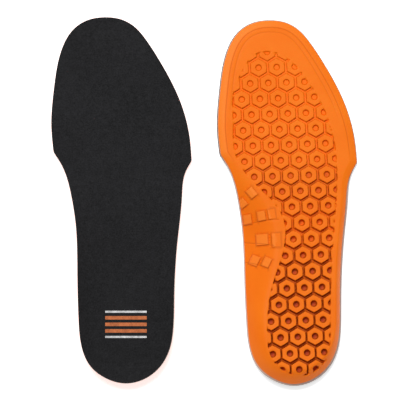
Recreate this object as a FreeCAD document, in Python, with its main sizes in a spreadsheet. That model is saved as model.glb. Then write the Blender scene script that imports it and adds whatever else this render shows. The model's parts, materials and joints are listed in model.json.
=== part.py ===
import FreeCAD, Part
import math
import os
from FreeCAD import Placement, Rotation, Vector

# A pair of cushioned insoles. The right one lies cover up, the left one lies sole up.
# Each is modelled once in its own frame: X runs from the inner (arch) side to the outer side,
# Y from the heel end to the toes, Z up from the flat sole to the cover. All sizes are millimetres.

doc = FreeCAD.newDocument("CushionedInsoles")
sheet = doc.addObject("Spreadsheet::Sheet", "Sizes")

drivingSizes = [
    ("insole_length", 291.0),      # heel end to toe end
    ("forefoot_width", 112.0),     # widest place, at the ball of the foot
    ("cover_thickness", 0.9),      # knitted top cover
    ("foam_thickness", 1.6),       # foam layer bonded under the cover
    ("footbed_step", 0.7),         # the foam stands this far past the footbed's edge
    ("heel_step", 2.0),            # the same on the outer side of the heel
    ("toe_thickness", 5.0),        # whole insole at the toes
    ("ball_thickness", 6.5),       # whole insole at the flex line
    ("heel_thickness", 10.0),      # whole insole under the heel
    ("heel_rim", 18.0),            # height of the heel cup's rim
    ("arch_rim", 21.0),            # height of the rim on the arch side
    ("outer_rim", 13.5),           # height of the rim on the outer side, mid-foot
    ("edge_depth", 3.8),           # whole insole measured down its trimmed edge
    ("toe_edge_lift", 1.6),        # rise of the sole's sloping border, round the forefoot
    ("border_width", 6.5),         # sloping border round the forefoot
    ("heel_wall", 12.0),           # outside of the heel cup, in plan, at the heel end
    ("inner_wall", 13.0),          # the same on the inner side of the heel
    ("outer_wall", 6.3),           # the same on the outer side
    ("arch_wall", 32.0),           # the same under the arch
    ("cup_blend", 18.0),           # inside of the heel cup, from its flat seat to its rim
    ("arch_blend", 30.0),          # inside of the arch, from the flat seat to the rim
    ("cell_pitch", 14.5),          # honeycomb cells along a row, centre to centre
    ("cell_gap", 2.2),             # groove between two of them
    ("front_rows", 0.855),         # from row to row, as a share of that, ahead of the middle row
    ("heel_rows", 0.89),           # the same behind it
    ("heel_closing", 0.0065),      # each row behind it is this share closer together
    ("cell_turn", 1.6),            # the rows' turn from square, in degrees
    ("heel_groove", 5.0),          # groove depth under the heel
    ("toe_groove", 1.3),           # groove depth under the toes
    ("hole_mouth", 5.3),           # blind hole in each cell, across its mouth
    ("hole_floor", 3.4),           # the same across its floor
    ("block_relief", 1.6),         # blocks under the arch stand this proud of it
    ("print_film", 0.15),          # printed film on the heel of the cover
    ("flex_turn", 5.0),            # the flex line's turn from square, in degrees
    ("flex_kerf", 0.3),            # room between the two halves at the flex line
    ("centre_spacing", 133.4),     # from one insole's middle line to the other's
    ("left_shift", 1.2),           # the left insole lies this far back towards its heel
    ("left_turn", 0.7),            # and is turned this many degrees
]
for row, (alias, value) in enumerate(drivingSizes, 1):
    sheet.set("A%d" % row, alias)
    sheet.set("B%d" % row, str(value))
    sheet.setAlias("B%d" % row, alias)
doc.recompute()


def size(alias):
    return float(sheet.get(alias))


length = size("insole_length")
width = size("forefoot_width")

# Outline.

# Each point is a share of the forefoot width and of the length. The forefoot's edge runs from the
# inner notch round the toes to the outer notch, the rear's from there round the heel and back.
forefootEdge = [
    (-0.486, 0.631), (-0.502, 0.704), (-0.4835, 0.804), (-0.437, 0.902), (-0.342, 0.968),
    (-0.238, 0.993), (-0.125, 1.0), (0.005, 0.993), (0.094, 0.973), (0.179, 0.935),
    (0.288, 0.869), (0.416, 0.770), (0.482, 0.674), (0.498, 0.6065)]
rearEdge = [
    (0.498, 0.6065), (0.452, 0.574), (0.429, 0.509), (0.395, 0.378), (0.377, 0.247),
    (0.3705, 0.155), (0.3455, 0.096), (0.281, 0.048), (0.179, 0.015), (0.032, 0.0),
    (-0.116, 0.015), (-0.223, 0.048), (-0.281, 0.096), (-0.305, 0.172), (-0.3135, 0.309),
    (-0.324, 0.430), (-0.357, 0.509), (-0.423, 0.591), (-0.486, 0.631)]
# The edge of the honeycomb field under the sole, once round from the toes by the outer side.
fieldEdge = [
    (-0.214, 0.908), (-0.034, 0.904), (0.109, 0.853), (0.249, 0.767), (0.327, 0.676),
    (0.349, 0.587), (0.324, 0.436), (0.293, 0.288), (0.283, 0.161), (0.234, 0.062),
    (0.123, 0.030), (-0.006, 0.031), (-0.130, 0.066), (-0.172, 0.164), (-0.142, 0.256),
    (-0.049, 0.369), (-0.038, 0.445), (-0.116, 0.500), (-0.275, 0.563), (-0.380, 0.632),
    (-0.392, 0.722), (-0.384, 0.804), (-0.337, 0.848)]


def ease(t):
    """0 below 0, 1 above 1, and a smooth run between."""
    t = min(1.0, max(0.0, t))
    return t * t * (3 - 2 * t)


def outerShare(x):
    """0 on the inner side, 1 on the outer side."""
    return ease(0.5 + x / (0.6 * width))


def stepAt(point):
    """How far the footbed stays back from the edge of the foam at a point of the outline."""
    share = point.y / length
    outerOrHeel = max(outerShare(point.x), 0.5 * ease(1.2 - 12 * share))
    rear = ease((0.60 - share) / 0.1)
    return size("footbed_step") + (size("heel_step") - size("footbed_step")) * outerOrHeel * rear


def spline(shares, inset=None, closed=False):
    """Curve through the shares, moved inwards by inset(point). The shares run clockwise."""
    points = [Vector(x * width, y * length, 0) for x, y in shares]
    curve = Part.BSplineCurve()
    curve.interpolate(Points=points, PeriodicFlag=closed)
    if inset:
        moved = []
        for point in points:
            tangent = curve.tangent(curve.parameter(point))[0]
            moved.append(point + Vector(tangent.y, -tangent.x, 0) * inset(point))
        curve.interpolate(Points=moved, PeriodicFlag=closed)
    return curve


def outlineCurves(inset=None):
    """The two edges of the outline, moved inwards and made to meet at the notches."""
    front = spline(forefootEdge, inset)
    rear = spline(rearEdge, inset)
    if inset:
        # The notches are corners, so the two ends are joined half way between them.
        for index in (0, 1):
            frontPole = 1 if index == 0 else front.NbPoles
            rearPole = rear.NbPoles if index == 0 else 1
            middle = (front.getPole(frontPole) + rear.getPole(rearPole)) / 2
            front.setPole(frontPole, middle)
            rear.setPole(rearPole, middle)
    return [front, rear]


edgeSamples = []
for curve in outlineCurves():
    edgeSamples += curve.toShape().discretize(Number=180)[:-1]
edgePairs = list(zip(edgeSamples, edgeSamples[1:] + edgeSamples[:1]))


def edgeDistance(x, y):
    """Distance in from the outline, negative outside it."""
    nearest = 1e9
    inside = False
    for first, second in edgePairs:
        runX = second.x - first.x
        runY = second.y - first.y
        along = ((x - first.x) * runX + (y - first.y) * runY) / (runX * runX + runY * runY)
        along = min(1.0, max(0.0, along))
        offX = x - first.x - along * runX
        offY = y - first.y - along * runY
        nearest = min(nearest, offX * offX + offY * offY)
        if (first.y > y) != (second.y > y) and x < first.x + (y - first.y) / runY * runX:
            inside = not inside
    return math.sqrt(nearest) if inside else -math.sqrt(nearest)


# Heights.

heelEnd, heelSide, midFoot, flexStart, flexLine, toeEnd = 0.0, 0.17, 0.40, 0.60, 0.64, 1.0


def along(stations, share):
    """Smooth run through (share of the length, value) stations."""
    for (startShare, startValue), (endShare, endValue) in zip(stations, stations[1:]):
        if share <= endShare:
            part = ease((share - startShare) / (endShare - startShare))
            return startValue + (endValue - startValue) * part
    return stations[-1][1]


ball, toes, heel = size("ball_thickness"), size("toe_thickness"), size("heel_thickness")
heelRim, archRim, outerRim = size("heel_rim"), size("arch_rim"), size("outer_rim")
border = size("border_width")
seatStations = [(heelEnd, heel), (midFoot, heel), (flexStart, ball), (flexLine, ball), (toeEnd, toes)]
innerRimStations = [(heelEnd, heelRim), (heelSide, heelRim), (midFoot, archRim), (flexStart, ball),
                    (flexLine, ball), (toeEnd, toes)]
outerRimStations = [(heelEnd, heelRim), (heelSide, heelRim), (midFoot, outerRim), (flexStart, ball),
                    (flexLine, ball), (toeEnd, toes)]
innerBlendStations = [(heelEnd, size("cup_blend")), (heelSide, size("cup_blend")),
                      (midFoot, size("arch_blend")), (toeEnd, size("arch_blend"))]
innerWallStations = [(heelEnd, size("heel_wall")), (heelSide, size("inner_wall")),
                     (midFoot, size("arch_wall")), (flexLine, border), (toeEnd, border)]
outerWallStations = [(heelEnd, size("heel_wall")), (heelSide, size("outer_wall")), (toeEnd, border)]
# The outside of the cup starts this steeply at the sole and curves up to its rim.
wallStart = 0.4
soleDip = 1.5


def between(inner, outer, x):
    return inner + (outer - inner) * outerShare(x)


def coverHeight(x, y, inFromEdge):
    share = y / length
    seat = along(seatStations, share)
    rim = between(along(innerRimStations, share), along(outerRimStations, share), x)
    blend = between(along(innerBlendStations, share), size("cup_blend"), x)
    return seat + (rim - seat) * max(0.0, 1 - inFromEdge / blend) ** 2


def soleHeight(x, y, inFromEdge):
    share = y / length
    rim = between(along(innerRimStations, share), along(outerRimStations, share), x)
    wall = between(along(innerWallStations, share), along(outerWallStations, share), x)
    lift = max(rim - size("edge_depth"), size("toe_edge_lift"))
    rise = 1 - inFromEdge / wall
    if rise < 0:
        return max(-soleDip, lift * wallStart * rise * 2)
    return lift * (wallStart * rise + (1 - wallStart) * rise * rise)


# Form surfaces.

gridStep = 3.2
gridMargin = 8.0
columns = int((width + 2 * gridMargin) / gridStep) + 1
rows = int((length + 2 * gridMargin) / gridStep) + 1
gridX = [-width / 2 - gridMargin + gridStep * column for column in range(columns)]
gridY = [-gridMargin + gridStep * row for row in range(rows)]
inFromEdges = [[edgeDistance(x, y) for y in gridY] for x in gridX]


def heights(formula):
    return [[formula(x, y, inFromEdges[i][j]) for j, y in enumerate(gridY)]
            for i, x in enumerate(gridX)]


def lowered(grid, depth):
    """The same surface, moved down so that the layer above it is depth thick across its slope."""
    steepest = 2.0
    moved = []
    for i in range(columns):
        moved.append([])
        for j in range(rows):
            slopeX = grid[min(i + 1, columns - 1)][j] - grid[max(i - 1, 0)][j]
            slopeY = grid[i][min(j + 1, rows - 1)] - grid[i][max(j - 1, 0)]
            slope = min(steepest, math.hypot(slopeX, slopeY) / (2 * gridStep))
            moved[-1].append(grid[i][j] - depth * math.sqrt(1 + slope * slope))
    return moved


def surfaceFace(grid):
    surface = Part.BSplineSurface()
    surface.interpolate([[Vector(x, y, grid[i][j]) for j, y in enumerate(gridY)]
                         for i, x in enumerate(gridX)])
    return surface.toShape()


formDepth = 60.0


def formBelow(name, grid):
    """Everything under a free-form surface, as a solid of the document."""
    form = doc.addObject("Part::Feature", name)
    form.Shape = surfaceFace(grid).extrude(Vector(0, 0, -formDepth))
    return form


coverGrid = heights(coverHeight)
foamGrid = lowered(coverGrid, size("cover_thickness"))
footbedGrid = lowered(coverGrid, size("cover_thickness") + size("foam_thickness"))
soleGrid = heights(soleHeight)
blockGrid = [[height - size("block_relief") for height in column] for column in soleGrid]

coverForm = formBelow("CoverForm", coverGrid)
foamForm = formBelow("FoamForm", foamGrid)
footbedForm = formBelow("FootbedForm", footbedGrid)
soleForm = formBelow("SoleForm", soleGrid)
blockForm = formBelow("BlockForm", blockGrid)


# Helpers for document objects.

def planeOf(body, role):
    return next(item for item in body.Origin.OriginFeatures if item.Role == role)


def paddedBody(name, curves, heightExpression, base=0.0):
    """A body with one closed sketch on its own XY plane, padded upwards."""
    body = doc.addObject("PartDesign::Body", name)
    sketch = body.newObject("Sketcher::SketchObject", name + "Sketch")
    sketch.AttachmentSupport = [(planeOf(body, "XY_Plane"), "")]
    sketch.MapMode = "FlatFace"
    for curve in curves:
        sketch.addGeometry(curve, False)
    pad = body.newObject("PartDesign::Pad", name + "Pad")
    pad.Profile = sketch
    pad.setExpression("Length", heightExpression)
    body.Placement.Base = Vector(0, 0, base)
    body.Tip = pad
    return body


def boolean(kind, name, first, second):
    result = doc.addObject("Part::" + kind, name)
    result.Base = first
    result.Tool = second
    return result


def group(kind, name, members):
    result = doc.addObject("Part::" + kind, name)
    if kind == "Compound":
        result.Links = members
    else:
        result.Shapes = members
    return result


def primitive(kind, name, position, rotation=None, **expressions):
    item = doc.addObject("Part::" + kind, name)
    item.Placement = Placement(position, rotation or Rotation())
    for prop, expression in expressions.items():
        item.setExpression(prop, expression)
    return item


# Blanks of the three layers.

blankHeight = "Sizes.arch_rim + Sizes.heel_rim"
fullBlank = paddedBody("FullBlank", outlineCurves(), blankHeight)
footbedBlank = paddedBody("FootbedBlank", outlineCurves(stepAt), blankHeight)

coverBlock = boolean("Common", "CoverBlock", fullBlank, coverForm)
cover = boolean("Cut", "Cover", coverBlock, foamForm)
foamBlock = boolean("Common", "FoamBlock", fullBlank, foamForm)
foam = boolean("Cut", "Foam", foamBlock, footbedForm)
footbedBlock = boolean("Common", "FootbedBlock", footbedBlank, footbedForm)
footbedShell = boolean("Cut", "FootbedShell", footbedBlock, soleForm)

# Blocks under the arch.

# Middle as shares of the width and length, length and width in millimetres, turn in degrees.
archBlocks = [
    (-0.266, 0.526, 8.0, 6.4, 39), (-0.328, 0.499, 7.0, 6.0, 39), (-0.290, 0.455, 8.0, 6.2, 9),
    (-0.198, 0.463, 8.0, 6.4, 9), (-0.126, 0.468, 8.0, 6.0, 9), (-0.193, 0.399, 9.0, 9.0, 2),
    (-0.096, 0.397, 11.0, 7.2, 2), (-0.245, 0.343, 8.0, 6.6, -26), (-0.166, 0.337, 8.0, 6.0, -26)]
stubs = []
for number, (x, y, long, wide, turn) in enumerate(archBlocks, 1):
    turned = Rotation(Vector(0, 0, 1), turn)
    corner = turned.multVec(Vector(-wide / 2, -long / 2, 0))
    stub = primitive("Box", "ArchBlock%d" % number, Vector(x * width, y * length, 0) + corner, turned,
                     Height="Sizes.arch_rim")
    stub.Length = wide
    stub.Width = long
    stubs.append(stub)
stubGroup = group("MultiFuse", "ArchStubs", stubs)
stubRelief = boolean("Cut", "ArchRelief", stubGroup, blockForm)
stubTrim = boolean("Common", "ArchTrim", stubRelief, footbedForm)
footbedBody = boolean("Fuse", "FootbedBody", footbedShell, stubTrim)

# Honeycomb grooves and holes.

under = 1.0
fieldCurve = spline(fieldEdge, closed=True)
fieldSamples = fieldCurve.toShape().discretize(Number=240)
fieldBody = paddedBody("Field", [fieldCurve], "Sizes.heel_groove + %g" % (2 * under), -under)

# The grooves leave a roof of footbed above them, which thins from the heel to the flex line.
upperLayers = size("cover_thickness") + size("foam_thickness")
heelRoof = heel - upperLayers - size("heel_groove")
toeRoof = toes - upperLayers - size("toe_groove")
roofStations = [(heelEnd, heelRoof), (midFoot, heelRoof), (flexStart, toeRoof), (toeEnd, toeRoof)]


def grooveDepth(y):
    share = y / length
    return along(seatStations, share) - upperLayers - along(roofStations, share)


floorStep = 9.0
floorCount = int(length / floorStep) + 3
floorPoints = [Vector(-width, floorStep * (number - 1), grooveDepth(floorStep * (number - 1)))
               for number in range(floorCount + 1)]
floorCurve = Part.BSplineCurve()
floorCurve.interpolate(Points=floorPoints)
floorFoot = [floorPoints[-1], Vector(-width, floorPoints[-1].y, -2 * under),
             Vector(-width, floorPoints[0].y, -2 * under), floorPoints[0]]
floorProfile = Part.Wire([floorCurve.toShape()] + Part.makePolygon(floorFoot).Edges)
grooveFloor = doc.addObject("Part::Feature", "GrooveFloor")
grooveFloor.Shape = Part.Face(floorProfile).extrude(Vector(2 * width, 0, 0))


def insideField(x, y, room):
    """True where the point is inside the field and at least room away from its edge."""
    nearest = min(math.hypot(point.x - x, point.y - y) for point in fieldSamples)
    inside = False
    for first, second in zip(fieldSamples, fieldSamples[1:] + fieldSamples[:1]):
        if (first.y > y) != (second.y > y):
            if x < first.x + (y - first.y) / (second.y - first.y) * (second.x - first.x):
                inside = not inside
    return inside and nearest > room or not inside and room < 0 and nearest < -room


pitch = size("cell_pitch")
reach = 0.6 * pitch
cellTurn = Rotation(Vector(0, 0, 1), size("cell_turn"))
firstCell = Vector(0.020 * width, 0.487 * length, 0)
rowReach = int(length / pitch / 1.7)
columnReach = int(width / pitch / 1.2)
cellRadius = "(Sizes.cell_pitch - Sizes.cell_gap) / (2 * cos(30))"
cells = []
holes = []
for rowNumber in range(-rowReach, rowReach + 1):
    for columnNumber in range(-columnReach, columnReach + 1):
        closing = 1 + size("heel_closing") * min(0, rowNumber)
        rowShare = size("front_rows") if rowNumber > 0 else size("heel_rows")
        offset = Vector((columnNumber + 0.5 * (rowNumber % 2)) * pitch * closing,
                        rowNumber * pitch * rowShare, 0)
        middle = firstCell + cellTurn.multVec(offset)
        if insideField(middle.x, middle.y, -reach):
            prism = primitive("Prism", "Cell%d" % (len(cells) + 1), middle - Vector(0, 0, 3 * under),
                              Rotation(Vector(0, 0, 1), size("cell_turn") + 30),
                              Circumradius=cellRadius,
                              Height="Sizes.heel_groove + %g" % (6 * under))
            prism.Polygon = 6
            cells.append(prism)
        if insideField(middle.x, middle.y, size("hole_mouth") / 2):
            depth = grooveDepth(middle.y)
            flare = (size("hole_mouth") - size("hole_floor")) / 2 / depth
            cone = primitive("Cone", "Hole%d" % (len(holes) + 1), middle - Vector(0, 0, under),
                             Radius1="Sizes.hole_mouth / 2 + %g" % (flare * under),
                             Radius2="Sizes.hole_floor / 2")
            cone.Height = depth + under
            holes.append(cone)
cellGroup = group("Compound", "Cells", cells)
holeGroup = group("Compound", "Holes", holes)
grooveBlock = boolean("Common", "GrooveBlock", fieldBody, grooveFloor)
grooves = boolean("Cut", "Grooves", grooveBlock, cellGroup)
grooved = boolean("Cut", "Grooved", footbedBody, grooves)
footbed = boolean("Cut", "Footbed", grooved, holeGroup)

# Printed films on the heel.

# A generic print: a white bar, an orange block with a disc beside it, and two thin white bars.
# Each film lies on the cover and follows its surface.
filmForm = formBelow("FilmForm", [[height + size("print_film") for height in column]
                                  for column in coverGrid])
printX, printY = 0.035 * width, 0.162 * length
# Middle from there, then width and height, in millimetres.
whiteBars = [(-0.5, 12.5, 33.0, 6.0), (-0.5, -10.2, 33.0, 2.2), (-0.5, -14.6, 24.0, 1.6)]
orangeBar = (-6.6, 0.8, 20.5, 11.0)
discX, discY, discRadius = 10.4, 0.8, 5.6


def bar(name, x, y, wide, tall):
    item = primitive("Box", name, Vector(printX + x - wide / 2, printY + y - tall / 2, 0),
                     Height="Sizes.arch_rim")
    item.Length = wide
    item.Width = tall
    return item


def film(name, stamps):
    stamp = group("Compound", name + "Stamp", stamps)
    block = boolean("Common", name + "Block", stamp, filmForm)
    return boolean("Cut", name, block, coverForm)


whitePrint = film("right_print_white", [bar("WhiteBar%d" % number, *white)
                                        for number, white in enumerate(whiteBars, 1)])
orangeDisc = primitive("Cylinder", "OrangeDisc", Vector(printX + discX, printY + discY, 0),
                       Height="Sizes.arch_rim")
orangeDisc.Radius = discRadius
orangePrint = film("right_print_orange", [bar("OrangeBar", *orangeBar), orangeDisc])

# Halves at the flex line.

# The line crosses the ball just ahead of both notches, its inner end further forward.
flexMiddle = Vector(0, flexLine * length, ball)
below = 10.0
flexRotation = Rotation(Vector(0, 0, 1), -size("flex_turn"))


def halfBlock(name, forward):
    start = size("flex_kerf") / 2 if forward else -size("flex_kerf") / 2 - length
    corner = flexRotation.multVec(Vector(-width, start, 0))
    return primitive("Box", name, Vector(corner.x, flexMiddle.y + corner.y, -below), flexRotation,
                     Length="2 * Sizes.forefoot_width", Width="Sizes.insole_length",
                     Height="3 * Sizes.arch_rim")


rearHalf = halfBlock("RearHalf", False)
frontHalf = halfBlock("FrontHalf", True)

pieces = {}
for layer, source in (("cover", cover), ("foam", foam), ("footbed", footbed)):
    pieces[layer + "_rear"] = boolean("Common", "right_%s_rear" % layer, source, rearHalf)
    pieces[layer + "_forefoot"] = boolean("Common", "right_%s_forefoot" % layer, source, frontHalf)
pieces["print_white"] = whitePrint
pieces["print_orange"] = orangePrint

# Rest pose of the left insole.


def restingPlane(points, middle):
    """Slopes of the plane that an insole lying on its cover touches the table with.

    It passes through three points of the cover's edge, has the middle of the insole
    between them, and no other point is above it."""
    best = None
    for a in range(len(points)):
        for b in range(a + 1, len(points)):
            for c in range(b + 1, len(points)):
                normal = (points[b] - points[a]).cross(points[c] - points[a])
                if abs(normal.z) < 1e-6:
                    continue
                slopeX, slopeY = -normal.x / normal.z, -normal.y / normal.z
                level = points[a].z - slopeX * points[a].x - slopeY * points[a].y
                height = level + slopeX * middle.x + slopeY * middle.y
                if best and height >= best[0]:
                    continue
                if all(p.z <= level + slopeX * p.x + slopeY * p.y + 1e-6 for p in points):
                    best = (height, slopeX, slopeY)
    return best[1], best[2]


rimPoints = [Vector(p.x, p.y, coverHeight(p.x, p.y, 0.0)) for p in edgeSamples[::7]]
middleOfArea = Vector(0, 0.49 * length, 0)
slopeX, slopeY = restingPlane(rimPoints, middleOfArea)
# The left insole is the right one mirrored in Z, and this turns its resting plane level.
tilt = Rotation(Vector(slopeX, slopeY, 1), Vector(0, 0, 1))

doc.recompute()
for name, piece in pieces.items():
    mirror = doc.addObject("Part::Mirroring", "left_" + name)
    mirror.Source = piece
    mirror.Normal = Vector(0, 0, 1)
    piece.Label = "right_" + name
    mirror.Label = "left_" + name
doc.recompute()


def placedBox(side, place):
    """Box around all of one insole's pieces, once they are moved to place."""
    box = FreeCAD.BoundBox()
    for name in pieces:
        shape = doc.getObject(side + name).Shape.copy()
        shape.Placement = place
        box.add(shape.optimalBoundingBox(True, False))
    return box


# The origin is on the table, under the middle of the pair.
spacing = Vector(size("centre_spacing") / 2, 0, 0)
rightPlace = Placement(spacing * -1, Rotation())
middleOfLength = Vector(0, length / 2, 0)
leftTurn = Rotation(Vector(0, 0, 1), size("left_turn"))
leftPlace = Placement(spacing - Vector(0, size("left_shift"), 0) + middleOfLength, leftTurn)
leftPlace = leftPlace.multiply(Placement(middleOfLength * -1, tilt))
rightBox = placedBox("right_", rightPlace)
leftBox = placedBox("left_", leftPlace)
leftPlace.Base.z -= leftBox.ZMin
rightPlace.Base.z -= rightBox.ZMin
rightBox.add(leftBox)
toMiddle = Vector(rightBox.Center.x, rightBox.Center.y, 0)
rightPlace.Base -= toMiddle
leftPlace.Base -= toMiddle
toOwnFrame = Placement(rightPlace.Base * -1, Rotation())
for name, piece in pieces.items():
    piece.Placement = rightPlace
    doc.getObject("left_" + name).Placement = leftPlace.multiply(toOwnFrame)
doc.recompute()

# Checks and files.

for item in doc.Objects:
    if "Invalid" in item.State or "Error" in item.State:
        raise RuntimeError("%s did not build: %s" % (item.Name, item.State))
os.makedirs("parts", exist_ok=True)
for name in [side + piece for side in ("right_", "left_") for piece in pieces]:
    item = doc.getObject(name)
    if item.Shape.isNull() or not item.Shape.isValid():
        raise RuntimeError(name + " has no valid shape")
    box = item.Shape.optimalBoundingBox(True, False)
    print("%-24s volume %9.1f  solids %2d  x %.1f..%.1f y %.1f..%.1f z %.2f..%.2f" % (
        name, item.Shape.Volume, len(item.Shape.Solids), box.XMin, box.XMax, box.YMin, box.YMax,
        box.ZMin, box.ZMax))
    item.Shape.exportStep("parts/%s.step" % item.Label)
# Where the flex lines are, and the land round one cell near the middle of each sole.
flexAxis = flexRotation.multVec(Vector(1, 0, 0))
flexUnderSole = Vector(flexMiddle.x, flexMiddle.y, 0)
land = firstCell + Vector((pitch - size("cell_gap") + size("hole_mouth")) / 4, 0, 0)
for label, vector in (("right_flex_at", rightPlace.multVec(flexMiddle)),
                      ("right_flex_axis", flexAxis),
                      ("left_flex_at", leftPlace.multVec(flexUnderSole)),
                      ("left_flex_axis", leftPlace.Rotation.multVec(flexAxis)),
                      ("right_sole_at", rightPlace.multVec(land)),
                      ("left_sole_at", leftPlace.multVec(land)),
                      ("left_sole_axis", leftPlace.Rotation.multVec(Vector(0, 0, 1)))):
    print("%-16s %.6f %.6f %.6f" % (label, vector.x, vector.y, vector.z))
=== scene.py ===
import json
import math
import bmesh
import bpy
import numpy as np
from mathutils import Matrix, Vector, geometry


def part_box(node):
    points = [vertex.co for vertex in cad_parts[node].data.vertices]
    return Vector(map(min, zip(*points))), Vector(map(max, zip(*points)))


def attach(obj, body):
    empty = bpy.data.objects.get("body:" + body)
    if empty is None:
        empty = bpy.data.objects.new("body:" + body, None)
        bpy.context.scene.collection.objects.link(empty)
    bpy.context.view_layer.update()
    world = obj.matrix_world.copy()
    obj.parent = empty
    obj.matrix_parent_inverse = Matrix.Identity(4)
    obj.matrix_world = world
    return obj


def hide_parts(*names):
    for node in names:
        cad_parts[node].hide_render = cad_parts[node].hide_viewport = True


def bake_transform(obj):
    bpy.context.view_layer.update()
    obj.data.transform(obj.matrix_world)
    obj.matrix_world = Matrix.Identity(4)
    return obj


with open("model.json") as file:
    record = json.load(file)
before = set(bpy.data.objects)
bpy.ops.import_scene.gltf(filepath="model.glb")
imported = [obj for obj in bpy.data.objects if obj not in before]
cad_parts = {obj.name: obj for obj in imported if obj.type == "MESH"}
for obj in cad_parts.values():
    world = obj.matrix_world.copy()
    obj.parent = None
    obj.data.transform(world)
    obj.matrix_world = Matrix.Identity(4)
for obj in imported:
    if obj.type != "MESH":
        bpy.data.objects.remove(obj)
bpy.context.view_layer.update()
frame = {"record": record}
mm = 0.001

mounts = {mount["name"]: mount for mount in frame["record"]["mounts"]}
joints = {joint["name"]: joint for joint in frame["record"]["behaviour"]["joints"]}
foamRear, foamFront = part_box("right_foam_rear"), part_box("right_foam_forefoot")

# The insole's own shape is in millimetres: X to the outer side, Y to the toes, Z from sole to cover.
insole = {
    "length": (foamFront[1][1] - foamRear[0][1]) / mm,
    "width": (foamFront[1][0] - foamFront[0][0]) / mm,
    "cover": 0.9, "foam": 1.6,           # thickness of the two upper layers
    "footbedStep": 0.7, "heelStep": 2.0,   # how far the footbed stands back from the outline
    "foamStep": 0.4, "coverStep": 0.12,  # the foam's step round the forefoot, the cover's round the rest
    "toes": 5.0, "ball": 6.5, "heel": 10.0,    # whole thickness along the middle
    "heelRim": 18.0, "archRim": 21.0, "outerRim": 13.5, "edge": 3.8, "toeLift": 1.6,
    "border": 6.5, "heelWall": 12.0, "innerWall": 13.0, "outerWall": 6.3, "archWall": 32.0,
    "cupBlend": 18.0, "archBlend": 30.0, "wallStart": 0.4,
    "flexShare": 0.64,
}
length, width = insole["length"], insole["width"]

# shares of the width and length, from the inner notch round the toes to the outer one, and back by the heel
forefootEdge = [
    (-0.486, 0.631), (-0.502, 0.704), (-0.4835, 0.804), (-0.437, 0.902), (-0.342, 0.968),
    (-0.238, 0.993), (-0.125, 1.0), (0.005, 0.993), (0.094, 0.973), (0.179, 0.935),
    (0.288, 0.869), (0.416, 0.770), (0.482, 0.674), (0.498, 0.6065)]
rearEdge = [
    (0.498, 0.6065), (0.452, 0.574), (0.429, 0.509), (0.395, 0.378), (0.377, 0.247),
    (0.3705, 0.155), (0.3455, 0.096), (0.281, 0.048), (0.179, 0.015), (0.032, 0.0),
    (-0.116, 0.015), (-0.223, 0.048), (-0.281, 0.096), (-0.305, 0.172), (-0.3135, 0.309),
    (-0.324, 0.430), (-0.357, 0.509), (-0.423, 0.591), (-0.486, 0.631)]
fieldEdge = [
    (-0.214, 0.908), (-0.034, 0.904), (0.109, 0.853), (0.249, 0.767), (0.327, 0.676),
    (0.349, 0.587), (0.324, 0.436), (0.293, 0.288), (0.283, 0.161), (0.234, 0.062),
    (0.123, 0.030), (-0.006, 0.031), (-0.130, 0.066), (-0.172, 0.164), (-0.142, 0.256),
    (-0.049, 0.369), (-0.038, 0.445), (-0.116, 0.500), (-0.275, 0.563), (-0.380, 0.632),
    (-0.392, 0.722), (-0.384, 0.804), (-0.337, 0.848)]


def splineThrough(shares, closed, count):
    # a smooth cubic curve through the points, sampled evenly along its length
    points = np.array(shares) * [width, length]
    if closed:
        points = np.vstack([points[-3:], points, points[:4]])
    steps = np.hypot(*np.diff(points, axis=0).T)
    at = np.concatenate([[0], np.cumsum(steps)])
    size = len(points)
    system, right = np.eye(size), np.zeros((size, 2))
    for k in range(1, size - 1):
        system[k, k - 1:k + 2] = steps[k - 1], 2 * (steps[k - 1] + steps[k]), steps[k]
        right[k] = 6 * ((points[k + 1] - points[k]) / steps[k] - (points[k] - points[k - 1]) / steps[k - 1])
    bend = np.linalg.solve(system, right)
    first, last = (at[3], at[-4]) if closed else (at[0], at[-1])
    where = np.linspace(first, last, 4000)
    span = np.clip(np.searchsorted(at, where, side="right") - 1, 0, size - 2)
    ahead, behind = (at[span + 1] - where)[:, None], (where - at[span])[:, None]
    gap = steps[span][:, None]
    fine = (bend[span] * ahead ** 3 + bend[span + 1] * behind ** 3) / (6 * gap)
    fine += (points[span] / gap - bend[span] * gap / 6) * ahead
    fine += (points[span + 1] / gap - bend[span + 1] * gap / 6) * behind
    travel = np.concatenate([[0], np.cumsum(np.hypot(*np.diff(fine, axis=0).T))])
    even = np.linspace(0, travel[-1], count)
    return np.column_stack([np.interp(even, travel, fine[:, 0]), np.interp(even, travel, fine[:, 1])])


def insetLoop(loop, inset):
    # the loop runs clockwise, so its inside is on the right
    along = np.roll(loop, -1, axis=0) - np.roll(loop, 1, axis=0)
    along /= np.hypot(*along.T)[:, None]
    return loop + np.column_stack([along[:, 1], -along[:, 0]]) * np.reshape(inset, (-1, 1))


def signedDistance(points, loop):
    # positive inside the loop
    nearest = np.full(len(points), 1e9)
    inside = np.zeros(len(points), bool)
    px, py = points[:, 0], points[:, 1]
    for (ax, ay), (bx, by) in zip(loop, np.roll(loop, -1, axis=0)):
        runX, runY = bx - ax, by - ay
        share = np.clip(((px - ax) * runX + (py - ay) * runY) / (runX ** 2 + runY ** 2), 0, 1)
        nearest = np.minimum(nearest, np.hypot(px - ax - share * runX, py - ay - share * runY))
        if ay != by:
            inside ^= ((ay > py) != (by > py)) & (px < ax + (py - ay) / runY * runX)
    return np.where(inside, nearest, -nearest)


frontLine = splineThrough(forefootEdge, False, 260)
rearLine = splineThrough(rearEdge, False, 340)
fullLoop = np.vstack([frontLine[:-1], rearLine[:-1]])
fieldLoop = splineThrough(fieldEdge, True, 300)[:-1]


def ease(t):
    t = np.clip(t, 0, 1)
    return t * t * (3 - 2 * t)


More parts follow.
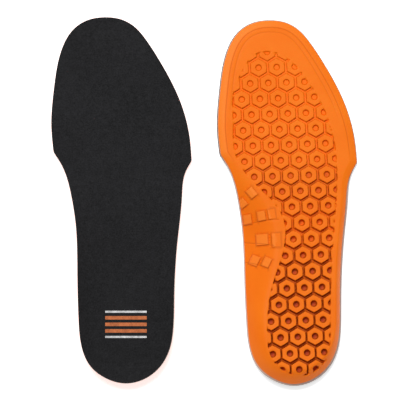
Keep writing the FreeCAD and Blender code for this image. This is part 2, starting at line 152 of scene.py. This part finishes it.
def run(stations, share):
    shares, values = zip(*stations)
    result = np.full(np.shape(share), float(values[-1]))
    for k in reversed(range(len(shares) - 1)):
        along = ease((share - shares[k]) / (shares[k + 1] - shares[k]))
        result = np.where(share <= shares[k + 1], values[k] + (values[k + 1] - values[k]) * along, result)
    return result


def outerSide(x):
    # 0 on the inner side, 1 on the outer, blended across the middle
    return ease(0.5 + x / (0.6 * width))


def sideMix(inner, outer, x):
    return inner + (outer - inner) * outerSide(x)


def stepOf(layer, points):
    # how far in from the outline a layer's edge is
    share = points[:, 1] / length
    front = ease((share - 0.58) / 0.06)
    if layer == "cover":
        outerHeel = outerSide(points[:, 0]) * ease((0.34 - share) / 0.1)
        return insole["coverStep"] * (1 - front + 3 * outerHeel)
    if layer == "foam":
        return insole["foamStep"] * front
    outerOrHeel = np.maximum(outerSide(points[:, 0]), ease(1.2 - 12 * share) * 0.5)
    rear = ease((0.60 - share) / 0.1)
    return insole["footbedStep"] + (insole["heelStep"] - insole["footbedStep"]) * outerOrHeel * rear


def rimHeight(x, share):
    ends = [(0.6, insole["ball"]), (insole["flexShare"], insole["ball"]), (1.0, insole["toes"])]
    heel = [(0.0, insole["heelRim"]), (0.17, insole["heelRim"])]
    inner = run(heel + [(0.4, insole["archRim"])] + ends, share)
    outer = run(heel + [(0.4, insole["outerRim"])] + ends, share)
    return sideMix(inner, outer, x)


def seatHeight(share):
    return run([(0.0, insole["heel"]), (0.4, insole["heel"]), (0.6, insole["ball"]),
                (insole["flexShare"], insole["ball"]), (1.0, insole["toes"])], share)


def coverHeight(points, fromEdge):
    x, share = points[:, 0], points[:, 1] / length
    seat = seatHeight(share)
    innerBlend = run([(0.0, insole["cupBlend"]), (0.17, insole["cupBlend"]), (0.4, insole["archBlend"]),
                      (1.0, insole["archBlend"])], share)
    blend = sideMix(innerBlend, insole["cupBlend"], x)
    return seat + (rimHeight(x, share) - seat) * np.clip(1 - fromEdge / blend, 0, None) ** 2


def soleHeight(points, fromEdge):
    x, share = points[:, 0], points[:, 1] / length
    inner = run([(0.0, insole["heelWall"]), (0.17, insole["innerWall"]), (0.4, insole["archWall"]),
                 (insole["flexShare"], insole["border"]), (1.0, insole["border"])], share)
    outer = run([(0.0, insole["heelWall"]), (0.17, insole["outerWall"]), (1.0, insole["border"])], share)
    rise = np.clip(1 - fromEdge / sideMix(inner, outer, x), 0, None)
    lift = np.maximum(rimHeight(x, share) - insole["edge"], insole["toeLift"])
    return lift * (insole["wallStart"] * rise + (1 - insole["wallStart"]) * rise ** 2)


def dropFactor(points):
    # how much deeper a layer is, measured straight down, where the surface slopes
    step = 0.5
    heights = [coverHeight(points + move, signedDistance(points + move, fullLoop))
               for move in ([step, 0], [-step, 0], [0, step], [0, -step])]
    slope = np.hypot(heights[0] - heights[1], heights[2] - heights[3]) / (2 * step)
    return np.sqrt(1 + np.minimum(slope, 2.0) ** 2)


# The left insole is the same shape mirrored in Z. Its flex axis and sole axis give its turn.
flexTurn = math.radians(5.0)
ownAxis = Vector((math.cos(flexTurn), -math.sin(flexTurn), 0))
flexRight = Vector(joints["right_flex"]["pos_m"])
rightOrigin = flexRight - Vector((0, length * insole["flexShare"], insole["ball"])) * mm
landPoint = Vector(mounts["right_sole"]["pos_m"]) - rightOrigin


def axesMatrix(first, third):
    second = third.cross(first).normalized()
    return Matrix((first.normalized(), second, third.normalized())).transposed()


leftTurn = axesMatrix(Vector(joints["left_flex"]["axis"]), Vector(mounts["left_sole"]["axis"]))
leftTurn = (leftTurn @ axesMatrix(ownAxis, Vector((0, 0, 1))).transposed()).to_4x4()
leftOrigin = Vector(mounts["left_sole"]["pos_m"]) - leftTurn @ landPoint
mirror = Matrix.Scale(-1, 4, (0, 0, 1))
placeOf = {
    "right": Matrix.Translation(rightOrigin) @ Matrix.Scale(mm, 4),
    "left": Matrix.Translation(leftOrigin) @ leftTurn @ mirror @ Matrix.Scale(mm, 4),
}


def addPiece(name, side, vertices, faces, marks):
    # vertices are in the insole's own millimetres, marks are numbers kept on them for the material
    mesh = bpy.data.meshes.new(name)
    mesh.from_pydata([tuple(map(float, v)) for v in vertices], [], faces)
    for mark, values in marks.items():
        mesh.attributes.new(mark, "FLOAT", "POINT").data.foreach_set("value", np.float32(values))
    mesh.transform(placeOf[side])
    piece = bpy.data.objects.new(name, mesh)
    bpy.context.collection.objects.link(piece)
    shape = bmesh.new()
    shape.from_mesh(mesh)
    bmesh.ops.remove_doubles(shape, verts=shape.verts, dist=0.00002)
    bmesh.ops.recalc_face_normals(shape, faces=shape.faces)
    for face in shape.faces:
        face.smooth = True
    shape.to_mesh(mesh)
    shape.free()
    return piece


# A layer's plan is a grid: stations from heel to toes, points from the inner edge to the outer.
plan = {"stations": 190, "across": 44}


def planGrid(layer):
    loop = insetLoop(fullLoop, stepOf(layer, fullLoop))
    toe, heel = int(np.argmax(loop[:, 1])), int(np.argmin(loop[:, 1]))
    size = len(loop)
    outer = loop[[(toe + k) % size for k in range((heel - toe) % size + 1)]][::-1]
    inner = loop[[(heel + k) % size for k in range((toe - heel) % size + 1)]]
    sides = []
    for line in (inner, outer):
        travel = np.concatenate([[0], np.cumsum(np.hypot(*np.diff(line, axis=0).T))])
        even = np.linspace(0, travel[-1], plan["stations"])
        sides.append(np.column_stack([np.interp(even, travel, line[:, k]) for k in (0, 1)]))
    share = 0.5 - 0.5 * np.cos(np.linspace(0, np.pi, plan["across"]))
    return sides[0][:, None, :] * (1 - share[None, :, None]) + sides[1][:, None, :] * share[None, :, None]


def gridFaces(rows, columns, start, flip):
    faces = []
    for i in range(rows - 1):
        for j in range(columns - 1):
            a = start + i * columns + j
            corners = (a, a + 1, a + columns + 1, a + columns)
            faces.append(corners[::-1] if flip else corners)
    return faces


def rimIndices(rows, columns, start):
    # once round the grid: up the inner edge and back down the outer one
    up = [start + i * columns for i in range(rows)]
    down = [start + i * columns + columns - 1 for i in reversed(range(1, rows - 1))]
    return up + down


def layerShell(grid, top, bottom):
    rows, columns = grid.shape[:2]
    flat = grid.reshape(-1, 2)
    vertices = np.vstack([np.column_stack([flat, top]), np.column_stack([flat, bottom])])
    faces = gridFaces(rows, columns, 0, False) + gridFaces(rows, columns, len(flat), True)
    upper, lower = rimIndices(rows, columns, 0), rimIndices(rows, columns, len(flat))
    for k in range(len(upper)):
        after = (k + 1) % len(upper)
        faces.append((upper[k], upper[after], lower[after], lower[k]))
    return vertices, faces


def rounded(fromEdge, radius):
    # how far a rounded edge falls below the surface
    part = np.clip(1 - fromEdge / radius, 0, 1)
    return radius * (1 - np.sqrt(1 - part ** 2))


def coverLayer():
    grid = planGrid("cover")
    flat = grid.reshape(-1, 2)
    fromEdge = signedDistance(flat, fullLoop)
    top, factor = coverHeight(flat, fromEdge), dropFactor(flat)
    bottom = top - insole["cover"] * factor
    top = top - rounded(fromEdge - stepOf("cover", flat), 0.5)
    return layerShell(grid, top, bottom)


def foamLayer():
    grid = planGrid("foam")
    flat = grid.reshape(-1, 2)
    fromEdge = signedDistance(flat, fullLoop)
    top, factor = coverHeight(flat, fromEdge), dropFactor(flat)
    soft = rounded(fromEdge - stepOf("foam", flat), 0.35)
    return layerShell(grid, top - insole["cover"] * factor - soft,
                      top - (insole["cover"] + insole["foam"]) * factor + soft)


# The footbed's sole has the honeycomb, the blind holes and the arch blocks.
honeycomb = {
    "pitch": 14.5, "gap": 2.2, "turn": 1.6, "middle": (0.020, 0.487),
    "frontRows": 0.855, "heelRows": 0.89, "heelClosing": 0.0065,   # row spacing as a share of the pitch
    "roof": [(0.0, 2.5), (0.4, 2.5), (0.6, 1.2), (1.0, 1.2)],   # footbed left above the grooves
    "holeMouth": 5.3, "holeFloor": 3.4, "edgeRound": 0.25,
    "shade": [(0.0, 1.0), (0.28, 0.9), (0.44, 0.3), (0.55, 0.55), (0.63, 0.15), (0.76, 0.05)],   # painted shade in the grooves and holes, by share of the length from the heel
    "holeRings": (0.8, 1.5, 1.7, 1.95, 2.2, 2.45, 2.7, 2.95), "landRings": (4.2, 5.4, 5.8, 6.0),
    "grooveRings": (6.12, 6.25, 6.4, 6.6, 6.9),
}
archBlocks = [
    (-0.266, 0.526, 8.0, 6.4, 39), (-0.328, 0.499, 7.0, 6.0, 39), (-0.290, 0.455, 8.0, 6.2, 9),
    (-0.198, 0.463, 8.0, 6.4, 9), (-0.126, 0.468, 8.0, 6.0, 9), (-0.193, 0.399, 9.0, 9.0, 2),
    (-0.096, 0.397, 11.0, 7.2, 2), (-0.245, 0.343, 8.0, 6.6, -26), (-0.166, 0.337, 8.0, 6.0, -26)]
blockRelief = 1.6
# moulded lines that fan out from the arch: points in millimetres
archLines = [
    [(-35.6, 127.4), (-34.2, 128.5), (-21.4, 131.1), (-8.6, 131.8)],
    [(-35.2, 114.6), (-32.7, 114.2), (-21.6, 112.8), (-12.9, 111.1)],
    [(-34.8, 98.9), (-31.3, 98.1), (-24.2, 96.0)]]
borderLine, toeLine = 6.3, 9.9       # faint lines round the forefoot, in from the outline


def turned(points, degrees):
    c, s = math.cos(math.radians(degrees)), math.sin(math.radians(degrees))
    return np.asarray(points) @ np.array([[c, s], [-s, c]])


def cellMiddles():
    middles = []
    for row in range(-14, 15):
        pitch = honeycomb["pitch"] * (1 + honeycomb["heelClosing"] * min(0, row))
        spacing = honeycomb["pitch"] * honeycomb["frontRows" if row > 0 else "heelRows"]
        middles += [((column + 0.5 * (row % 2)) * pitch, row * spacing) for column in range(-6, 7)]
    start = np.array(honeycomb["middle"]) * [width, length]
    return turned(middles, honeycomb["turn"]) + start


def hexDistance(points):
    # distance from a cell's middle, measured across its flats
    flats = [np.abs(points @ [math.cos(a), math.sin(a)]) for a in np.radians([0, 60, 120])]
    return np.max(flats, axis=0)


def cellPoints():
    around = {"hole": 24, "land": 36}
    rings = [np.zeros((1, 2))]
    for radius in honeycomb["holeRings"]:
        angles = np.linspace(0, 2 * np.pi, around["hole"], endpoint=False)
        rings.append(np.column_stack([np.cos(angles), np.sin(angles)]) * radius)
    for reach in honeycomb["landRings"] + honeycomb["grooveRings"]:
        corners = np.array([(math.cos(a), math.sin(a)) for a in np.radians(range(30, 390, 60))])
        corners *= reach / math.cos(math.pi / 6)
        sidePoints = around["land"] // 6
        ring = [corners[k] + (corners[(k + 1) % 6] - corners[k]) * n / sidePoints
                for k in range(6) for n in range(sidePoints)]
        rings.append(np.array(ring))
    return turned(np.vstack(rings), honeycomb["turn"])


def grooveDepth(y):
    return seatHeight(y / length) - insole["cover"] - insole["foam"] - run(honeycomb["roof"], y / length)


def honeycombCut(points, middles):
    # depth of the cut at each point, the painted shade on its groove walls, hole mouths and grooves, and
    # where the floors of the holes are, with painted shade on them
    local = np.full((len(points), 2), 1e3)
    nearest = np.full(len(points), 1e9)
    for middle in middles:
        offset = points - middle
        away = np.hypot(*offset.T)
        closer = away < nearest
        nearest[closer] = away[closer]
        local[closer] = offset[closer]
    local = turned(local, -honeycomb["turn"])
    half = (honeycomb["pitch"] - honeycomb["gap"]) / 2
    edge = honeycomb["edgeRound"]
    past = hexDistance(local) - half
    groove = ease((past + edge * 0.6) / (edge * 1.8))
    mouth, floor = honeycomb["holeMouth"] / 2, honeycomb["holeFloor"] / 2
    hole = 1 - ease((nearest - floor) / (mouth - floor + 0.15))
    inField = ease((signedDistance(points, fieldLoop) + 0.1) / 0.5)
    depth = grooveDepth(points[:, 1])
    # painted shade: its strength along the length, strongest under the heel; the next lines paint dark lines
    # on the groove walls and round the hole mouths, and darken the grooves
    deep = run(honeycomb["shade"], points[:, 1] / length)
    wall = ease(1 - np.abs(past - 0.2) / (0.36 + 0.2 * deep))
    wall += ease(1 - np.abs(nearest - mouth + 0.35) / (0.5 + 0.3 * deep))
    dark = np.clip(wall * (0.36 + 0.5 * deep) + groove * (0.03 + 0.5 * deep), 0, 1) * inField
    return depth * np.maximum(groove, hole) * inField, dark, (nearest < floor + 0.1) * inField * deep


def lineDistance(points, line):
    nearest = np.full(len(points), 1e9)
    px, py = points[:, 0], points[:, 1]
    for (ax, ay), (bx, by) in zip(line, line[1:]):
        runX, runY = bx - ax, by - ay
        share = np.clip(((px - ax) * runX + (py - ay) * runY) / (runX ** 2 + runY ** 2), 0, 1)
        nearest = np.minimum(nearest, np.hypot(px - ax - share * runX, py - ay - share * runY))
    return nearest


def mouldLines(points, fromEdge):
    # faint moulded lines: 1 on a line, 0 away from it
    share = points[:, 1] / length
    lines = ease(1 - np.abs(fromEdge - borderLine) / 0.7) * ease((share - 0.60) / 0.05) * 0.75
    lines = np.maximum(lines, ease(1 - np.abs(fromEdge - toeLine) / 0.7) * ease((share - 0.70) / 0.1) * 0.5)
    for line in archLines:
        lines = np.maximum(lines, ease(1 - lineDistance(points, line) / 0.6))
    return lines


def blockShape(points):
    # how far an arch block stands out at each point, and how much painted shade goes at the foot of its sides
    high, foot = np.zeros(len(points)), np.zeros(len(points))
    for x, y, long, wide, turn in archBlocks:
        local = turned(points - [x * width, y * length], -turn)
        inside = np.minimum(wide / 2 - np.abs(local[:, 0]), long / 2 - np.abs(local[:, 1]))
        high = np.maximum(high, ease((inside + 0.1) / 0.35))
        foot = np.maximum(foot, ease(1 - np.abs(inside + 0.15) / 0.65))
    return high, foot


def blockPoints():
    points = []
    for x, y, long, wide, turn in archBlocks:
        for grow in (0.4, 0.12, -0.02, -0.15, -0.3, -1.0, -2.2):
            halfWide, halfLong = wide / 2 + grow, long / 2 + grow
            for n in range(40):
                side, part = divmod(n, 10)
                part = part / 5 - 1
                spot = [(halfWide * part, halfLong), (halfWide, -halfLong * part),
                        (-halfWide * part, -halfLong), (-halfWide, halfLong * part)][side]
                points.append(turned([spot], turn)[0] + [x * width, y * length])
    return np.array(points)


def solePlan(edgeLoop):
    # all the points that the sole's surface goes through, seen in plan
    middles = cellMiddles()
    middles = middles[signedDistance(middles, fieldLoop) > -0.6 * honeycomb["pitch"]]
    cells = np.vstack([middle + cellPoints() for middle in middles])
    cells = cells[signedDistance(cells, fieldLoop) > 0.9]
    fieldRings = np.vstack([insetLoop(fieldLoop, inset) for inset in (-0.5, -0.1, 0.1, 0.25, 0.45)])
    wallRings = np.vstack([insetLoop(edgeLoop, inset) for inset in
                           (0.15, 0.4, 0.9, 1.7, 2.6, 3.6, 4.4, 5.0, 5.3, 5.6, 5.9, 6.2, 6.8, 7.8)])
    toeRings = np.vstack([insetLoop(fullLoop, inset) for inset in (9.3, 9.6, 9.9, 10.2, 10.5)])
    toeRings = toeRings[toeRings[:, 1] > 0.68 * length]
    archPoints = []
    for line in archLines:
        for start, end in zip(np.array(line), np.array(line[1:])):
            across = np.array([start[1] - end[1], end[0] - start[0]]) / math.dist(start, end)
            archPoints += [start + (end - start) * n / 14 + across * off for n in range(15)
                           for off in (-0.6, -0.3, 0.0, 0.3, 0.6)]
    xs, ys = np.meshgrid(np.arange(-58, 59, 2.2), np.arange(2, length, 2.2))
    fill = np.column_stack([xs.ravel(), ys.ravel()])
    fill = fill[signedDistance(fill, edgeLoop) > 8.6]
    outside = np.vstack([wallRings, toeRings, archPoints, fill])
    outside = outside[signedDistance(outside, fieldLoop) < -1.1]
    blocks = blockPoints()
    blocks = blocks[signedDistance(blocks, fieldLoop) < -0.9]
    return middles, np.vstack([cells, fieldRings, outside, blocks])


def footbedLayer():
    grid = planGrid("footbed")
    rows, columns = grid.shape[:2]
    flat = grid.reshape(-1, 2)
    depth = (insole["cover"] + insole["foam"]) * dropFactor(flat)
    top = coverHeight(flat, signedDistance(flat, fullLoop)) - depth - 0.02
    rim = rimIndices(rows, columns, 0)
    edgeLoop = flat[rim]
    middles, inner = solePlan(edgeLoop)
    points = np.vstack([edgeLoop, inner])
    edges = [(k, (k + 1) % len(edgeLoop)) for k in range(len(edgeLoop))]
    made = geometry.delaunay_2d_cdt([Vector(p) for p in points], edges, [list(range(len(edgeLoop)))],
                                    1, 1e-4)
    plane = np.array([tuple(v) for v in made[0]])
    fromEdge = signedDistance(plane, fullLoop)
    base = soleHeight(plane, fromEdge)
    blocks, blockFoot = blockShape(plane)
    sole = np.maximum(base - blocks * blockRelief, np.minimum(base, 0.0))
    # holeFloor carries painted shade for the floors of the holes
    cut, dark, holeFloor = honeycombCut(plane, middles)
    lines = mouldLines(plane, fromEdge)
    sole = sole + cut + lines * 0.25 + rounded(fromEdge - stepOf("footbed", plane), 0.4)
    rimOnSole = {}
    for index, originals in enumerate(made[3]):
        for original in originals:
            if original < len(edgeLoop):
                rimOnSole[original] = index + len(flat)
    vertices = np.vstack([np.column_stack([flat, top]), np.column_stack([plane, sole])])
    faces = gridFaces(rows, columns, 0, False)
    faces += [tuple(len(flat) + k for k in reversed(face)) for face in made[2]]
    for k in range(len(rim)):
        after = (k + 1) % len(rim)
        faces.append((rim[k], rim[after], rimOnSole[after], rimOnSole[k]))
    plain = np.zeros(len(flat))
    onWall = base > 0.3                    # blocks sunk level with the sole have no sides to show
    # painted shade in one mark: the grooves and hole mouths, the faint moulded lines, and the foot of the
    # arch blocks' sides
    shade = np.max([dark, lines * 0.42, blockFoot * (signedDistance(plane, fieldLoop) < -0.5) * 0.38], axis=0)
    # painted highlight: a lighter band along the inner border of the forefoot, and lighter tops on the arch
    # blocks
    paintedBorderHighlight = ease((insole["border"] - 0.1 - fromEdge) / 1.5) * ease((plane[:, 1] / length - 0.60) / 0.05)
    paintedBorderHighlight = paintedBorderHighlight * (1 - 0.8 * outerSide(plane[:, 0]))
    paintedHighlight = np.maximum(blocks * onWall * (1 - blockFoot), paintedBorderHighlight)
    marks = {"cavityShade": np.concatenate([plain, shade]), "holeFloor": np.concatenate([plain, holeFloor]),
             "paintedHighlight": np.concatenate([plain, paintedHighlight])}
    return vertices, faces, marks


print("shaping the layers")
layers = {"cover": (*coverLayer(), {}), "foam": (*foamLayer(), {}), "footbed": footbedLayer()}
for name, (vertices, faces, marks) in layers.items():
    print(name, len(vertices), "vertices", len(faces), "faces")


class Flow:
    # wraps a socket, so that shader maths reads as an expression

    def __init__(self, nodes, links, socket):
        self.nodes, self.links, self.socket = nodes, links, socket

    def math(self, operation, first, second):
        node = self.nodes.new("ShaderNodeMath")
        node.operation = operation
        for slot, value in enumerate((first, second)):
            if isinstance(value, Flow):
                self.links.new(value.socket, node.inputs[slot])
            else:
                node.inputs[slot].default_value = value
        return Flow(self.nodes, self.links, node.outputs[0])

    def __add__(self, other): return self.math("ADD", self, other)
    def __radd__(self, other): return self.math("ADD", other, self)
    def __sub__(self, other): return self.math("SUBTRACT", self, other)
    def __rsub__(self, other): return self.math("SUBTRACT", other, self)
    def __mul__(self, other): return self.math("MULTIPLY", self, other)
    def __rmul__(self, other): return self.math("MULTIPLY", other, self)
    def held(self): return self.math("MAXIMUM", self.math("MINIMUM", self, 1.0), 0.0)


class Surface:
    # one material with a Principled shader and helpers for the nodes that feed it

    def __init__(self, name, **constants):
        self.material = bpy.data.materials.new(name)
        self.material.use_nodes = True
        self.nodes, self.links = self.material.node_tree.nodes, self.material.node_tree.links
        self.shader = self.nodes["Principled BSDF"]
        for socket, value in constants.items():
            self.shader.inputs[socket.replace("_", " ")].default_value = value

    def add(self, kind, settings=None, output=0, **inputs):
        node = self.nodes.new("ShaderNode" + kind)
        for key, value in (settings or {}).items():
            setattr(node, key, value)
        for key, value in inputs.items():
            slot = node.inputs[int(key[1:])] if key[0] == "i" and key[1:].isdigit() else node.inputs[key]
            if isinstance(value, Flow):
                self.links.new(value.socket, slot)
            else:
                slot.default_value = value
        return Flow(self.nodes, self.links, node.outputs[output])

    def place(self):
        return self.add("TexCoord", output=3)

    def noise(self, scale, detail=2.0, rough=0.5):
        return self.add("TexNoise", Vector=self.place(), Scale=scale, Detail=detail, Roughness=rough)

    def feed(self, socket, value):
        self.links.new(value.socket, self.shader.inputs[socket])

    def blendColours(self, factor, first, second):
        return self.add("Mix", {"data_type": "RGBA"}, 2, i0=factor, i6=first, i7=second)

    def bump(self, height, strength, distance):
        self.feed("Normal", self.add("Bump", Height=height, Strength=strength, Distance=distance))


knit = {"dark": (0.006, 0.006, 0.0063, 1), "light": (0.0255, 0.0255, 0.0275, 1), "course": 290, "wale": 350}


def knitMaterial():
    surface = Surface("knitCover", Sheen_Weight=0.06, Sheen_Roughness=0.5, Specular_IOR_Level=0.12)
    fibres = surface.noise(2600, 3.0, 0.7)
    mottle = surface.noise(900, 3.0, 0.7)
    patches = surface.noise(240, 2.0, 0.6)
    drift = surface.noise(20, 2.0, 0.5)
    courses = surface.add("TexWave", {"bands_direction": "Y"}, 1, Vector=surface.place(),
                          Scale=knit["course"], Distortion=1.6)
    wales = surface.add("TexWave", {"bands_direction": "X"}, 1, Vector=surface.place(),
                        Scale=knit["wale"], Distortion=1.6)
    loops = courses * wales
    tone = (mottle * 1.9 + patches * 0.6 + fibres * 0.5 + drift * 0.35 + loops * 0.3 - 1.24).held()
    surface.feed("Base Color", surface.blendColours(tone, knit["dark"], knit["light"]))
    surface.feed("Roughness", 0.82 + mottle * 0.15)
    surface.bump(loops * 0.5 + fibres * 0.3 + mottle * 0.4, 0.4, 0.0005)
    return surface.material


foamLook = {"light": (0.70, 0.58, 0.52, 1), "dark": (0.53, 0.42, 0.37, 1)}


def foamMaterial():
    surface = Surface("greyFoam", Specular_IOR_Level=0.3)
    cells = surface.add("TexVoronoi", Vector=surface.place(), Scale=2200.0)
    drift = surface.noise(90, 2.0, 0.5)
    tone = (cells * 0.9 + drift * 0.3).held()
    surface.feed("Base Color", surface.blendColours(tone, foamLook["light"], foamLook["dark"]))
    surface.feed("Roughness", 0.75 + drift * 0.2)
    surface.bump(cells, 0.4, 0.0003)
    return surface.material


moulding = {"bright": (0.94, 0.195, 0.006, 1), "deep": (0.88, 0.158, 0.002, 1),
            # painted shade colours: the first for the groove walls, hole mouths, moulded lines and block
            # feet, the second for the hole floors
            "wall": (0.30, 0.030, 0.001, 1), "holeFloor": (0.40, 0.045, 0.016, 1),
            # painted highlight colour
            "paintedHighlight": (0.98, 0.25, 0.03, 1)}


def mouldingMaterial():
    surface = Surface("orangeMoulding", Coat_Weight=0.0, Specular_IOR_Level=0.12,
                      Subsurface_Weight=0.05, Subsurface_Scale=0.003)
    surface.shader.inputs["Subsurface Radius"].default_value = (1.0, 0.25, 0.05)
    drift = surface.noise(35, 3.0, 0.55)
    grain = surface.noise(1500, 2.0, 0.6)
    tone = (drift * 1.6 - 0.45).held()
    cavityShade = surface.add("Attribute", {"attribute_name": "cavityShade"}, 2)
    holeFloor = surface.add("Attribute", {"attribute_name": "holeFloor"}, 2)
    colour = surface.blendColours(tone, moulding["bright"], moulding["deep"])
    paintedHighlight = surface.add("Attribute", {"attribute_name": "paintedHighlight"}, 2)
    # painted highlight on the arch block tops and the inner forefoot border
    colour = surface.blendColours((paintedHighlight * 0.6).held(), colour, moulding["paintedHighlight"])
    # painted shade: the orange darkens toward the dark red wall colour by the groove shade mark
    colour = surface.blendColours((cavityShade * 0.95).held(), colour, moulding["wall"])
    # painted shade on the floors of the holes
    surface.feed("Base Color", surface.blendColours((holeFloor * 0.9).held(), colour, moulding["holeFloor"]))
    surface.feed("Roughness", 0.42 + drift * 0.14 + grain * 0.08)
    surface.bump(grain * 0.5 + drift * 0.5, 0.12, 0.0004)
    return surface.material


def filmMaterial(name, colour, worn):
    surface = Surface(name, Specular_IOR_Level=0.3)
    weave = surface.noise(1500, 3.0, 0.7)
    drift = surface.noise(260, 2.0, 0.5)
    wear = (weave * 2.2 + drift * 1.4 - 1.45).held()
    surface.feed("Base Color", surface.blendColours(wear, colour, worn))
    surface.feed("Roughness", 0.55 + weave * 0.25)
    surface.bump(weave, 0.3, 0.0003)
    return surface.material


materials = {"cover": knitMaterial(), "foam": foamMaterial(), "footbed": mouldingMaterial()}
whiteFilm = filmMaterial("whiteFilm", (0.80, 0.80, 0.80, 1), (0.22, 0.22, 0.22, 1))
orangeFilm = filmMaterial("orangeFilm", (0.66, 0.19, 0.06, 1), (0.28, 0.07, 0.02, 1))

print("placing the layers")
coverRise = 1.05        # the cover's area over its plan, for the cup and the arch
for side in ("right", "left"):
    sideways = Vector(joints[side + "_flex"]["axis"]).normalized()
    forward = Vector(placeOf[side].col[2][:3]).normalized().cross(sideways)
    forward = forward if forward.y > 0 else -forward
    for layer, (vertices, faces, marks) in layers.items():
        piece = addPiece(side + layer.capitalize(), side, vertices, faces, marks)
        piece.data.materials.append(materials[layer])
        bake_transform(piece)
        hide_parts("%s_%s_rear" % (side, layer), "%s_%s_forefoot" % (side, layer))
        if layer == "cover":
            half = len(vertices) // 2
            area = sum((vertices[a][0] * vertices[b][1] - vertices[b][0] * vertices[a][1]) / 2
                       for face in faces if max(face) < half
                       for a, b in zip(face, face[1:] + face[:1]))
            width * mm
            length * mm
            abs(area) * mm * mm * coverRise


# The prints are thin films of plain stripes, in millimetres from their middle.
film = {
    "middle": (0.035 * width, 0.162 * length), "lift": 0.02, "thick": 0.12, "corner": 0.35,
    "white": [(-0.5, 9.6, 33.0, 1.6), (-0.5, -10.4, 33.0, 1.6)],       # x, y, wide, tall
    "orange": [(-0.5, 4.8 - 5.2 * n, 33.0, 2.8) for n in range(3)],
}


def stripe(x, y, wide, tall):
    spot = (x + film["middle"][0], y + film["middle"][1], insole["heel"] + film["lift"])
    bpy.ops.mesh.primitive_plane_add(size=1, location=spot)
    piece = bpy.context.object
    piece.scale = (wide, tall, 1)
    bpy.ops.object.transform_apply(location=True, rotation=True, scale=True)
    bpy.ops.object.mode_set(mode="EDIT")
    bpy.ops.mesh.select_all(action="SELECT")
    bpy.ops.mesh.bevel(offset=film["corner"], segments=3, affect="VERTICES")
    bpy.ops.mesh.select_all(action="SELECT")
    bpy.ops.mesh.extrude_region_move(TRANSFORM_OT_translate={"value": (0, 0, film["thick"])})
    bpy.ops.object.mode_set(mode="OBJECT")
    return piece


def finishPrint(parts, side, name, material):
    bpy.ops.object.select_all(action="DESELECT")
    for part in parts:
        part.select_set(True)
    bpy.context.view_layer.objects.active = parts[0]
    bpy.ops.object.join()
    piece = bpy.context.object
    piece.name = "%sPrint%s" % (side, name.capitalize())
    piece.data.transform(placeOf[side])
    bpy.ops.object.mode_set(mode="EDIT")
    bpy.ops.mesh.select_all(action="SELECT")
    bpy.ops.mesh.normals_make_consistent(inside=False)
    bpy.ops.object.mode_set(mode="OBJECT")
    piece.data.shade_flat()
    piece.data.materials.append(material)
    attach(piece, side + "_rear")
    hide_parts("%s_print_%s" % (side, name))


print("printing the heel")
bpy.ops.object.select_all(action="DESELECT")
for side in ("right", "left"):
    finishPrint([stripe(*values) for values in film["white"]], side, "white", whiteFilm)
    finishPrint([stripe(*values) for values in film["orange"]], side, "orange", orangeFilm)

view = {"scale": 0.797, "height": 3.0, "aim": (-0.0035, 0.0012), "floorGlow": 0.6,
        "sky": 0.29, "keyPower": 34, "keySize": 0.7, "keyFrom": (-0.20, 0.75, 1.93), "keyAt": (0, 0, 0),
        "sensor": 36.0, "frame": 400}


def addFloor():
    bpy.ops.mesh.primitive_plane_add(size=6, location=(0, 0, 0))
    floor = bpy.context.object
    floor.name = "floor"
    surface = Surface("paleFloor", Roughness=0.9)
    tint = surface.noise(3, 2.0, 0.5)
    surface.feed("Base Color", surface.blendColours(tint, (0.93, 0.93, 0.93, 1), (0.95, 0.95, 0.95, 1)))
    surface.shader.inputs["Emission Color"].default_value = (1, 1, 1, 1)
    surface.shader.inputs["Emission Strength"].default_value = view["floorGlow"]
    floor.data.materials.append(surface.material)


addFloor()
key = bpy.data.objects.new("key", bpy.data.lights.new("key", "AREA"))
key.data.energy, key.data.size = view["keyPower"], view["keySize"]
key.location = view["keyFrom"]
key.rotation_euler = (Vector(view["keyAt"]) - Vector(view["keyFrom"])).to_track_quat("-Z", "Y").to_euler()
bpy.context.collection.objects.link(key)
world = bpy.data.worlds.new("studio")
world.use_nodes = True
world.node_tree.nodes["Background"].inputs["Color"].default_value = (1, 1, 1, 1)
world.node_tree.nodes["Background"].inputs["Strength"].default_value = view["sky"]
bpy.context.scene.world = world
bpy.context.scene.view_settings.view_transform = "Standard"

camera = bpy.data.objects.new("camera", bpy.data.cameras.new("camera"))
camera.location = (*view["aim"], view["height"])
camera.data.sensor_width = view["sensor"]
camera.data.lens = view["sensor"] * view["height"] / (view["scale"] * view["frame"] * mm)
camera.data.clip_start, camera.data.clip_end = 0.01, 20
bpy.context.collection.objects.link(camera)
bpy.context.scene.camera = camera

print("scene ready")
